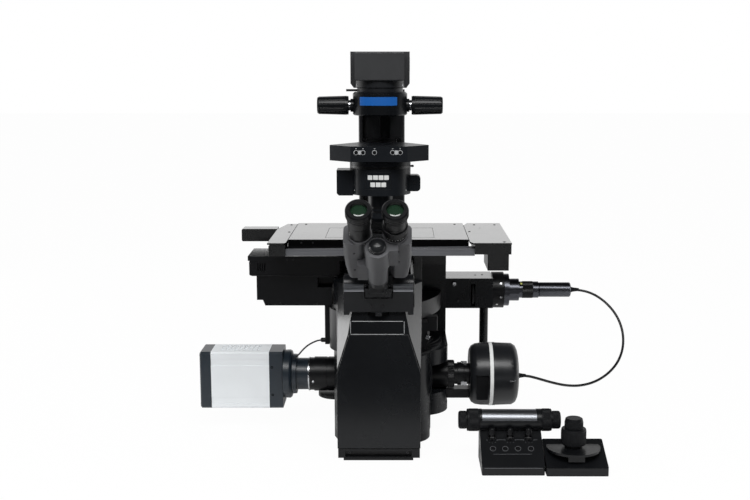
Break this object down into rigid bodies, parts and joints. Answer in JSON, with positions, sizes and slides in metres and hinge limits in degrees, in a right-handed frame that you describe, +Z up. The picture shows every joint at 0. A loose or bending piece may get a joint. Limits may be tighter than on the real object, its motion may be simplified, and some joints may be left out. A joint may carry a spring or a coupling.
{
  "type": "inverted microscope",
  "caption": "Inverted microscope that views specimens on its stage from below, with a tilting binocular head, pillar lamp, condenser, port cameras and hand controllers.",
  "frame": {"origin": "on the bench, straight under the optical axis of the objective in use", "axes": "+Z up, +X to the right of someone at the eyepieces, +Y away from them"},
  "size_m": [0.8358, 0.5966, 0.707],
  "materials": {
    "graphite_paint": "satin black paint on cast aluminium",
    "slate_paint": "satin black paint, slightly blue, on cast aluminium",
    "grey_paint": "satin charcoal paint on cast aluminium",
    "black_moulding": "fine matt black",
    "grey_moulding": "fine matt charcoal moulding",
    "stage_black": "black anodised",
    "silver_shell": "satin clear anodised",
    "satin_chrome": "satin chrome",
    "grip_rubber": "ribbed soft-touch rubber",
    "optical_glass": "polished, coated",
    "cable_jacket": "matt black jacket"
  },
  "bodies": {
    "root": {"stand_casting": "graphite_paint", "front_cover": "graphite_paint", "base_plate": "black_moulding", "side_port_block": "graphite_paint", "deck_shelves": "black_moulding", "stage_base": "stage_black", "tube_base": "grey_paint", "pillar_foot": "graphite_paint", "drift_unit": "black_moulding", "left_camera": "silver_shell", "right_port_adapter": "black_moulding", "right_camera": "slate_paint", "illuminator_box": "graphite_paint", "light_guide_collar": "black_moulding", "light_guide_cord": "cable_jacket", "port_wire": "cable_jacket", "pad_case": "grey_moulding", "joystick_base": "grey_moulding"},
    "upper_turret": {"upper_turret": "black_moulding"},
    "lower_turret": {"lower_turret": "black_moulding"},
    "prism_slider": {"prism_slider": "optical_glass"},
    "stage_carriage": {"stage_carriage": "stage_black"},
    "stage_top": {"stage_top": "stage_black", "specimen_holder": "stage_black"},
    "focus_arm": {"focus_arm": "black_moulding"},
    "nosepiece": {"nosepiece_turret": "black_moulding", "objectives": "satin_chrome"},
    "head": {"head_neck": "grey_paint"},
    "left_tube": {"left_prism_housing": "graphite_paint", "left_eyepiece": "black_moulding"},
    "right_tube": {"right_prism_housing": "graphite_paint", "right_eyepiece": "black_moulding"},
    "dioptre_ring": {"dioptre_ring": "black_moulding"},
    "pillar": {"pillar_column": "graphite_paint", "top_arm": "graphite_paint", "lamp_hood": "slate_paint", "lamp_housing": "slate_paint"},
    "condenser": {"condenser_bracket": "black_moulding", "switch_panel": "grey_paint", "condenser_housing": "grey_paint"},
    "condenser_focus_knobs": {"condenser_focus_knobs": "grip_rubber"},
    "aperture_ring": {"aperture_ring": "black_moulding"},
    "condenser_turret": {"condenser_turret": "black_moulding"},
    "attenuator_wheel": {"attenuator_wheel": "black_moulding"},
    "coarse_rings": {"pad_coarse_rings": "grip_rubber"},
    "fine_knobs": {"pad_fine_knobs": "grip_rubber"},
    "stage_knob_lower": {"joystick_lower_knob": "grip_rubber"},
    "stage_knob_upper": {"joystick_upper_knob": "grip_rubber"},
    "panel_button_1": {"panel_button_1": "black_moulding"},
    "panel_button_2": {"panel_button_2": "black_moulding"},
    "panel_button_3": {"panel_button_3": "black_moulding"},
    "panel_button_4": {"panel_button_4": "black_moulding"},
    "panel_button_5": {"panel_button_5": "black_moulding"},
    "pad_button_1": {"pad_button_1": "black_moulding"},
    "pad_button_2": {"pad_button_2": "black_moulding"},
    "pad_button_3": {"pad_button_3": "black_moulding"},
    "pad_button_4": {"pad_button_4": "black_moulding"},
    "pad_lever_1": {"pad_lever_1": "black_moulding"},
    "pad_lever_2": {"pad_lever_2": "black_moulding"},
    "pad_lever_3": {"pad_lever_3": "black_moulding"}
  },
  "joints": [
    {"name": "upper_turret_turn", "type": "hinge", "parent": "root", "child": "upper_turret", "pos_m": [0.038, 0.022, 0.223], "axis": [0, 0, 1], "continuous": true},
    {"name": "lower_turret_turn", "type": "hinge", "parent": "root", "child": "lower_turret", "pos_m": [0.038, 0.022, 0.17], "axis": [0, 0, 1], "continuous": true},
    {"name": "prism_shift", "type": "slide", "parent": "root", "child": "prism_slider", "axis": [0, 1, 0], "range_m": [0, 0.04]},
    {"name": "stage_y", "type": "slide", "parent": "root", "child": "stage_carriage", "axis": [0, 1, 0], "range_m": [-0.0375, 0.0375]},
    {"name": "stage_x", "type": "slide", "parent": "stage_carriage", "child": "stage_top", "axis": [1, 0, 0], "range_m": [-0.057, 0.057]},
    {"name": "objective_focus", "type": "slide", "parent": "root", "child": "focus_arm", "axis": [0, 0, 1], "range_m": [-0.003, 0.0055]},
    {"name": "nosepiece_turn", "type": "hinge", "parent": "focus_arm", "child": "nosepiece", "pos_m": [0, -0.03284, 0.3092], "axis": [0, -0.2588, 0.9659], "continuous": true},
    {"name": "head_tilt", "type": "hinge", "parent": "root", "child": "head", "pos_m": [0, -0.178, 0.308], "axis": [1, 0, 0], "range_deg": [-30, 9]},
    {"name": "right_tube_swing", "type": "hinge", "parent": "head", "child": "right_tube", "pos_m": [0, -0.25524, 0.35757], "axis": [0, -0.7193, 0.6947], "range_deg": [-29, 8]},
    {"name": "left_tube_swing", "type": "hinge", "parent": "head", "child": "left_tube", "pos_m": [0, -0.23366, 0.33673], "axis": [0, -0.7193, 0.6947], "range_deg": [-8, 29]},
    {"name": "dioptre_turn", "type": "hinge", "parent": "right_tube", "child": "dioptre_ring", "pos_m": [0.029, -0.2861, 0.42351], "axis": [0, -0.7193, 0.6947], "range_deg": [-150, 150]},
    {"name": "pillar_tilt", "type": "hinge", "parent": "root", "child": "pillar", "pos_m": [0, 0.252, 0.356], "axis": [1, 0, 0], "range_deg": [-30, 0]},
    {"name": "condenser_focus", "type": "slide", "parent": "pillar", "child": "condenser", "axis": [0, 0, 1], "range_m": [0, 0.05]},
    {"name": "condenser_knob_turn", "type": "hinge", "parent": "condenser", "child": "condenser_focus_knobs", "pos_m": [0, 0.156, 0.486], "axis": [1, 0, 0], "range_deg": [-1, 901]},
    {"name": "aperture_turn", "type": "hinge", "parent": "condenser", "child": "aperture_ring", "pos_m": [0, 0.006, 0.4975], "axis": [0, 0, 1], "range_deg": [-35, 35]},
    {"name": "condenser_turret_turn", "type": "hinge", "parent": "condenser", "child": "condenser_turret", "pos_m": [0, 0.024, 0.465], "axis": [0, 0, 1], "continuous": true},
    {"name": "panel_button_1_press", "type": "slide", "parent": "condenser", "child": "panel_button_1", "axis": [0, 1, 0], "range_m": [0, 0.001], "stiffness_N_per_m": 300, "springref_m": -0.001},
    {"name": "panel_button_2_press", "type": "slide", "parent": "condenser", "child": "panel_button_2", "axis": [0, 1, 0], "range_m": [0, 0.001], "stiffness_N_per_m": 300, "springref_m": -0.001},
    {"name": "panel_button_3_press", "type": "slide", "parent": "condenser", "child": "panel_button_3", "axis": [0, 1, 0], "range_m": [0, 0.001], "stiffness_N_per_m": 300, "springref_m": -0.001},
    {"name": "panel_button_4_press", "type": "slide", "parent": "condenser", "child": "panel_button_4", "axis": [0, 1, 0], "range_m": [0, 0.001], "stiffness_N_per_m": 300, "springref_m": -0.001},
    {"name": "panel_button_5_press", "type": "slide", "parent": "condenser", "child": "panel_button_5", "axis": [0, 1, 0], "range_m": [0, 0.001], "stiffness_N_per_m": 300, "springref_m": -0.001},
    {"name": "attenuator_turn", "type": "hinge", "parent": "root", "child": "attenuator_wheel", "pos_m": [0.1865, 0.1915, 0.217], "axis": [1, 0, 0], "continuous": true},
    {"name": "coarse_turn", "type": "hinge", "parent": "root", "child": "coarse_rings", "pos_m": [0.226, -0.2, 0.0735], "axis": [1, 0, 0], "continuous": true},
    {"name": "fine_turn", "type": "hinge", "parent": "root", "child": "fine_knobs", "pos_m": [0.226, -0.2, 0.0735], "axis": [1, 0, 0], "continuous": true},
    {"name": "pad_lever_1_tilt", "type": "hinge", "parent": "root", "child": "pad_lever_1", "pos_m": [0.1952, -0.2243, 0.04822], "axis": [1, 0, 0], "range_deg": [-7, 7], "stiffness_Nm_per_rad": 0.4},
    {"name": "pad_lever_2_tilt", "type": "hinge", "parent": "root", "child": "pad_lever_2", "pos_m": [0.2262, -0.2243, 0.04822], "axis": [1, 0, 0], "range_deg": [-7, 7], "stiffness_Nm_per_rad": 0.4},
    {"name": "pad_lever_3_tilt", "type": "hinge", "parent": "root", "child": "pad_lever_3", "pos_m": [0.2579, -0.2243, 0.04822], "axis": [1, 0, 0], "range_deg": [-7, 7], "stiffness_Nm_per_rad": 0.4},
    {"name": "pad_button_1_press", "type": "slide", "parent": "root", "child": "pad_button_1", "axis": [0, 0.5519, -0.8339], "range_m": [0, 0.001], "stiffness_N_per_m": 300, "springref_m": -0.001},
    {"name": "pad_button_2_press", "type": "slide", "parent": "root", "child": "pad_button_2", "axis": [0, 0.5519, -0.8339], "range_m": [0, 0.001], "stiffness_N_per_m": 300, "springref_m": -0.001},
    {"name": "pad_button_3_press", "type": "slide", "parent": "root", "child": "pad_button_3", "axis": [0, 0.5519, -0.8339], "range_m": [0, 0.001], "stiffness_N_per_m": 300, "springref_m": -0.001},
    {"name": "pad_button_4_press", "type": "slide", "parent": "root", "child": "pad_button_4", "axis": [0, 0.5519, -0.8339], "range_m": [0, 0.001], "stiffness_N_per_m": 300, "springref_m": -0.001},
    {"name": "stage_knob_lower_turn", "type": "hinge", "parent": "root", "child": "stage_knob_lower", "pos_m": [0.3345, -0.232, 0.056], "axis": [0, 0, 1], "continuous": true},
    {"name": "stage_knob_upper_turn", "type": "hinge", "parent": "root", "child": "stage_knob_upper", "pos_m": [0.3345, -0.232, 0.08], "axis": [0, 0, 1], "continuous": true}
  ],
  "couplings": [
    {"joint": "left_tube_swing", "follows": "right_tube_swing", "ratio": -1},
    {"joint": "condenser_knob_turn", "follows": "condenser_focus", "rad_per_m": 314.16}
  ]
}
